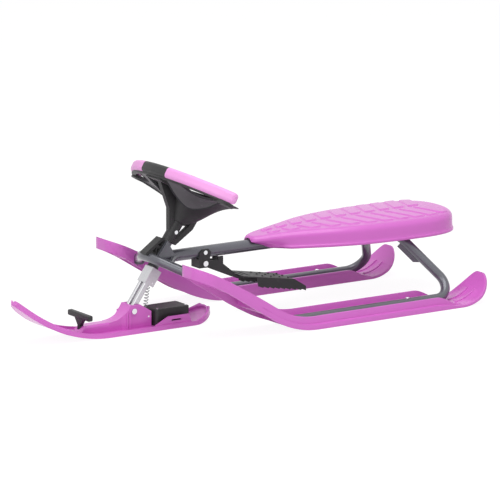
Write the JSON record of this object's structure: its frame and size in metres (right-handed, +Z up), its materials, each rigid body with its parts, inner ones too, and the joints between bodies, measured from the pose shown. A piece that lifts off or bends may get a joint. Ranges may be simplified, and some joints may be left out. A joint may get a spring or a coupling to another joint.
{
  "type": "steering sled",
  "caption": "Child's steering sled: twin rear skis, tube frame, padded-look seat, steering wheel on a raked column with a sprung front ski, foot brake and winding tow handle.",
  "frame": {"origin": "on the ground under the middle of the sled's bounding box", "axes": "+X forward along the sled, +Y to the rider's left, +Z up from the ground"},
  "size_m": [1.17, 0.478, 0.3775],
  "materials": {
    "orchid_plastic": "gloss moulded polyethylene",
    "grip_plastic": "satin moulded grip",
    "frame_paint": "gloss powder coat on steel tube",
    "black_plastic": "fine-grained moulding",
    "bearing_plastic": "plain moulding",
    "zinc_steel": "zinc plate",
    "bright_fasteners": "bright zinc plate",
    "spring_steel": "oiled wire"
  },
  "bodies": {
    "frame": {"rear_ski_left": "orchid_plastic", "rear_ski_right": "orchid_plastic", "seat_shell": "orchid_plastic", "side_rail_left": "frame_paint", "side_rail_right": "frame_paint", "leg_web_left": "frame_paint", "leg_web_right": "frame_paint", "rear_cross": "frame_paint", "main_beam": "frame_paint", "head_tube": "frame_paint", "front_hoop": "frame_paint", "brace_left": "frame_paint", "brace_right": "frame_paint", "gusset_left": "frame_paint", "gusset_right": "frame_paint", "head_guard": "black_plastic", "brake_bracket": "black_plastic", "seat_saddle_front": "black_plastic", "seat_saddle_rear": "black_plastic", "lower_bush": "bearing_plastic", "upper_bush": "bearing_plastic", "seat_screws": "bright_fasteners", "brake_rivet": "bright_fasteners", "brake_pivot_bolt": "bright_fasteners", "ski_rivets": "bright_fasteners", "hoop_bolts": "bright_fasteners"},
    "steering": {"steering_column": "zinc_steel", "thrust_washer": "bearing_plastic", "steering_wheel": "black_plastic", "grip_left": "grip_plastic", "grip_right": "grip_plastic", "wheel_clamp_bolt": "bright_fasteners", "fork_bracket": "zinc_steel", "fork_leg_left": "zinc_steel", "fork_leg_right": "zinc_steel", "crown_bolt": "bright_fasteners", "ski_pivot_bolt": "bright_fasteners", "pivot_sleeves": "bearing_plastic", "suspension_spring": "spring_steel", "spring_seat_upper": "bearing_plastic", "spring_pin_upper": "bright_fasteners"},
    "front_ski": {"front_ski": "orchid_plastic", "spring_seat_lower": "bearing_plastic", "spring_pin_lower": "bright_fasteners", "reel_base": "black_plastic", "reel_lid": "black_plastic", "reel_axle": "bright_fasteners", "reel_screws": "bright_fasteners"},
    "tow_handle": {"tow_handle": "black_plastic"},
    "reel": {"reel_drum": "black_plastic", "reel_spring": "spring_steel"},
    "brake": {"brake_arm_left": "black_plastic", "brake_arm_right": "black_plastic", "brake_pedal": "black_plastic", "brake_return_spring": "spring_steel"}
  },
  "joints": [
    {"name": "steer", "type": "hinge", "parent": "frame", "child": "steering", "pos_m": [0.27799, 0, 0.047], "axis": [-0.5736, 0, 0.8192], "range_deg": [-30, 30]},
    {"name": "ski_pitch", "type": "hinge", "parent": "steering", "child": "front_ski", "pos_m": [0.27799, 0, 0.047], "axis": [0, 1, 0], "range_deg": [-10, 12], "stiffness_Nm_per_rad": 30, "deforming": ["suspension_spring"]},
    {"name": "handle_lift", "type": "slide", "parent": "front_ski", "child": "tow_handle", "axis": [0, 0, 1], "range_m": [0, 0.01]},
    {"name": "reel_turn", "type": "hinge", "parent": "front_ski", "child": "reel", "pos_m": [0.17799, 0, 0.018], "axis": [0, 0, 1], "range_deg": [0, 36], "deforming": ["reel_spring"]},
    {"name": "brake_press", "type": "hinge", "parent": "frame", "child": "brake", "pos_m": [0.0819, 0, 0.134], "axis": [0, -1, 0], "range_deg": [0, 14], "stiffness_Nm_per_rad": 4, "springref_deg": -20.05, "deforming": ["brake_return_spring"]}
  ],
  "couplings": [
    {"joint": "reel_turn", "follows": "handle_lift", "rad_per_m": 62.5}
  ]
}
